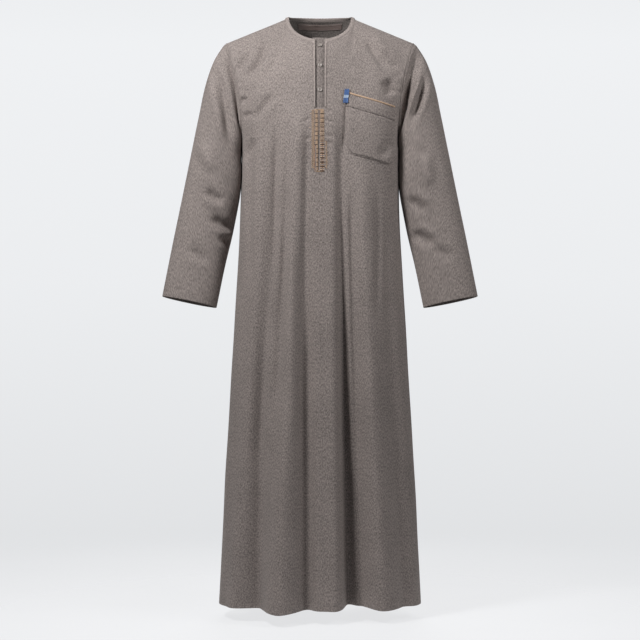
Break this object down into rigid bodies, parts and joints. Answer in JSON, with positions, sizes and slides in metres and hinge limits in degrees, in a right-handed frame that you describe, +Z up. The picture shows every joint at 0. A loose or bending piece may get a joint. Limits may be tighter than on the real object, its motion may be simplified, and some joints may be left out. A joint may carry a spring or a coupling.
{
  "type": "thobe robe",
  "caption": "Ankle-length long-sleeved thobe robe, filled out as worn: round bound neck, buttoned placket, chest pocket with tan piping, open hem and cuffs.",
  "frame": {"origin": "middle of the neck opening, level with the neck points of the shoulder seams", "axes": "+Z up, towards the wearer's head; the front faces -Y; +X is the wearer's left, the side with the pocket"},
  "size_m": [0.7592, 0.3732, 1.4301],
  "materials": {
    "taupe_chambray": "matte heathered plain weave",
    "taupe_binding": "matte, slightly paler than the cloth",
    "tan_piping": "matte tan tape",
    "blue_label": "woven satin tab, plain",
    "neck_tape": "matte tape",
    "button_resin": "pearly resin"
  },
  "bodies": {
    "root": {"front_panel_top": "taupe_chambray", "front_panel_skirt": "taupe_chambray", "back_panel_top": "taupe_chambray", "back_panel_skirt": "taupe_chambray", "sleeve_left": "taupe_chambray", "sleeve_right": "taupe_chambray", "neck_binding": "taupe_binding", "placket_band": "taupe_chambray", "placket_edge_left": "taupe_binding", "placket_edge_right": "taupe_binding", "button_1": "button_resin", "button_2": "button_resin", "button_3": "button_resin", "pocket_piping": "tan_piping", "pocket_band": "taupe_chambray", "pocket_bag": "taupe_chambray", "label_tab": "blue_label", "neck_tape": "neck_tape"}
  },
  "joints": []
}
